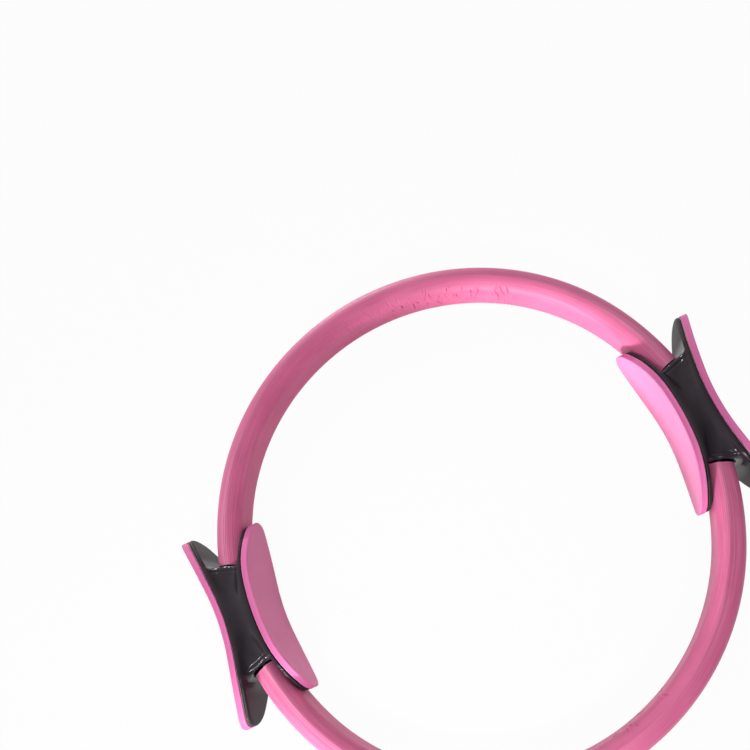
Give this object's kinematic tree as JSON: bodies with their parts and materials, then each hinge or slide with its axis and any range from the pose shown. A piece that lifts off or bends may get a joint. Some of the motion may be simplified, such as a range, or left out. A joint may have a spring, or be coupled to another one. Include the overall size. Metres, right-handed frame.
{
  "type": "pilates ring",
  "caption": "Springy exercise ring of foam-covered strip with a padded, flared grip on each side, for squeezing between hands or legs.",
  "frame": {"origin": "centre of the ring on the plane that it lies on, at the bottom of its bounding box", "axes": "+X from the ring's centre to the right grip, +Y across the ring to its upper half, +Z along the ring's axis"},
  "size_m": [0.3974, 0.38, 0.048],
  "materials": {
    "spring_strip": "pultruded glass-fibre strip, matte",
    "tube_foam": "closed-cell foam tube with a smooth extruded skin, matte",
    "grip_moulding": "injection-moulded plastic, glossy",
    "pad_foam": "die-cut closed-cell foam sheet, satin",
    "adhesive_film": "double-sided adhesive film",
    "screw": "zinc-plated steel"
  },
  "bodies": {
    "hoop": {"upper_spring_strip": "spring_strip", "lower_spring_strip": "spring_strip", "upper_foam_tube": "tube_foam", "lower_foam_tube": "tube_foam"},
    "right_grip": {"right_grip_moulding": "grip_moulding", "right_outer_pad": "pad_foam", "right_outer_pad_film": "adhesive_film", "right_inner_pad": "pad_foam", "right_inner_pad_film": "adhesive_film", "right_upper_screws": "screw", "right_lower_screws": "screw"},
    "left_grip": {"left_grip_moulding": "grip_moulding", "left_outer_pad": "pad_foam", "left_outer_pad_film": "adhesive_film", "left_inner_pad": "pad_foam", "left_inner_pad_film": "adhesive_film", "left_upper_screws": "screw", "left_lower_screws": "screw"}
  },
  "joints": [
    {"name": "left_squeeze", "type": "slide", "parent": "hoop", "child": "left_grip", "axis": [1, 0, 0], "range_m": [-0.01, 0.04], "stiffness_N_per_m": 1600, "deforming": ["upper_spring_strip", "lower_spring_strip", "upper_foam_tube", "lower_foam_tube"]},
    {"name": "right_squeeze", "type": "slide", "parent": "hoop", "child": "right_grip", "axis": [-1, 0, 0], "range_m": [-0.01, 0.04], "stiffness_N_per_m": 1600, "deforming": ["upper_spring_strip", "lower_spring_strip", "upper_foam_tube", "lower_foam_tube"]}
  ],
  "couplings": [
    {"joint": "right_squeeze", "follows": "left_squeeze", "ratio": 1}
  ]
}
